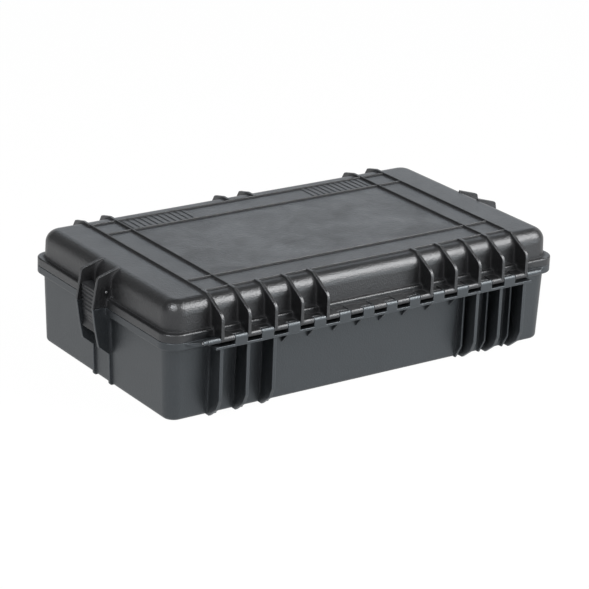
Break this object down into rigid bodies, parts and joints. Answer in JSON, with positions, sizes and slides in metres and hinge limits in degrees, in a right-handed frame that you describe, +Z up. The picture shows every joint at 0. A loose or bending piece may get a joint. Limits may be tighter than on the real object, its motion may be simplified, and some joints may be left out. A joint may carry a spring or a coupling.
{
  "type": "hard protective case",
  "caption": "Rectangular hard protective case with a hinged ribbed lid, lever latches, a folding carrying handle, a gasket and a pressure relief valve.",
  "frame": {"origin": "centre of the foot's flat resting face, midway between the ends and between the front and back walls", "axes": "+X along the hinge, +Y towards the hinge side, +Z up"},
  "size_m": [0.814, 0.476, 0.2],
  "materials": {
    "shell_polypropylene": "fine matte grain, moulded black polypropylene",
    "latch_nylon": "moulded black nylon, slightly smoother than the shells",
    "gasket_rubber": "soft black rubber",
    "grip_rubber": "matte overmoulded rubber",
    "steel_pin": "drawn stainless steel",
    "valve_plastic": "moulded black nylon",
    "valve_membrane": "white breathable membrane"
  },
  "bodies": {
    "base": {"base_shell": "shell_polypropylene", "hinge_pin": "steel_pin", "handle_pins": "steel_pin", "valve_body": "valve_plastic", "valve_seal_ring": "gasket_rubber", "valve_nut": "valve_plastic", "valve_membrane": "valve_membrane"},
    "lid": {"lid_shell": "shell_polypropylene", "lid_gasket": "gasket_rubber", "latch_pins": "steel_pin"},
    "handle": {"handle_frame": "latch_nylon", "handle_grip": "grip_rubber"},
    "knob": {"valve_knob": "valve_plastic"},
    "lever_front_left": {"latch_lever_front_left": "latch_nylon", "claw_pin_front_left": "steel_pin"},
    "claw_front_left": {"latch_claw_front_left": "latch_nylon"},
    "lever_front_centre": {"latch_lever_front_centre": "latch_nylon", "claw_pin_front_centre": "steel_pin"},
    "claw_front_centre": {"latch_claw_front_centre": "latch_nylon"},
    "lever_front_right": {"latch_lever_front_right": "latch_nylon", "claw_pin_front_right": "steel_pin"},
    "claw_front_right": {"latch_claw_front_right": "latch_nylon"},
    "lever_side_left": {"latch_lever_side_left": "latch_nylon", "claw_pin_side_left": "steel_pin"},
    "claw_side_left": {"latch_claw_side_left": "latch_nylon"},
    "lever_side_right": {"latch_lever_side_right": "latch_nylon", "claw_pin_side_right": "steel_pin"},
    "claw_side_right": {"latch_claw_side_right": "latch_nylon"}
  },
  "joints": [
    {"name": "lid_hinge", "type": "hinge", "parent": "base", "child": "lid", "pos_m": [0, 0.233, 0.1363], "axis": [-1, 0, 0], "range_deg": [0, 95]},
    {"name": "lever_front_left", "type": "hinge", "parent": "lid", "child": "lever_front_left", "pos_m": [-0.2744, -0.2135, 0.161], "axis": [-1, 0, 0], "range_deg": [0, 90]},
    {"name": "claw_front_left", "type": "hinge", "parent": "lever_front_left", "child": "claw_front_left", "pos_m": [-0.2744, -0.22, 0.103], "axis": [-1, 0, 0], "range_deg": [0, 45]},
    {"name": "lever_front_centre", "type": "hinge", "parent": "lid", "child": "lever_front_centre", "pos_m": [0, -0.2135, 0.161], "axis": [-1, 0, 0], "range_deg": [0, 90]},
    {"name": "claw_front_centre", "type": "hinge", "parent": "lever_front_centre", "child": "claw_front_centre", "pos_m": [0, -0.22, 0.103], "axis": [-1, 0, 0], "range_deg": [0, 45]},
    {"name": "lever_front_right", "type": "hinge", "parent": "lid", "child": "lever_front_right", "pos_m": [0.2744, -0.2135, 0.161], "axis": [-1, 0, 0], "range_deg": [0, 90]},
    {"name": "claw_front_right", "type": "hinge", "parent": "lever_front_right", "child": "claw_front_right", "pos_m": [0.2744, -0.22, 0.103], "axis": [-1, 0, 0], "range_deg": [0, 45]},
    {"name": "lever_side_left", "type": "hinge", "parent": "lid", "child": "lever_side_left", "pos_m": [-0.3825, 0, 0.161], "axis": [0, 1, 0], "range_deg": [0, 90]},
    {"name": "claw_side_left", "type": "hinge", "parent": "lever_side_left", "child": "claw_side_left", "pos_m": [-0.389, 0, 0.103], "axis": [0, 1, 0], "range_deg": [0, 45]},
    {"name": "lever_side_right", "type": "hinge", "parent": "lid", "child": "lever_side_right", "pos_m": [0.3825, 0, 0.161], "axis": [0, -1, 0], "range_deg": [0, 90]},
    {"name": "claw_side_right", "type": "hinge", "parent": "lever_side_right", "child": "claw_side_right", "pos_m": [0.389, 0, 0.103], "axis": [0, -1, 0], "range_deg": [0, 45]},
    {"name": "handle_pivot", "type": "hinge", "parent": "base", "child": "handle", "pos_m": [0, -0.223, 0.106], "axis": [-1, 0, 0], "range_deg": [0, 90]},
    {"name": "valve_turn", "type": "hinge", "parent": "base", "child": "knob", "pos_m": [0.158, -0.215, 0.088], "axis": [0, 1, 0], "range_deg": [0, 270]}
  ]
}
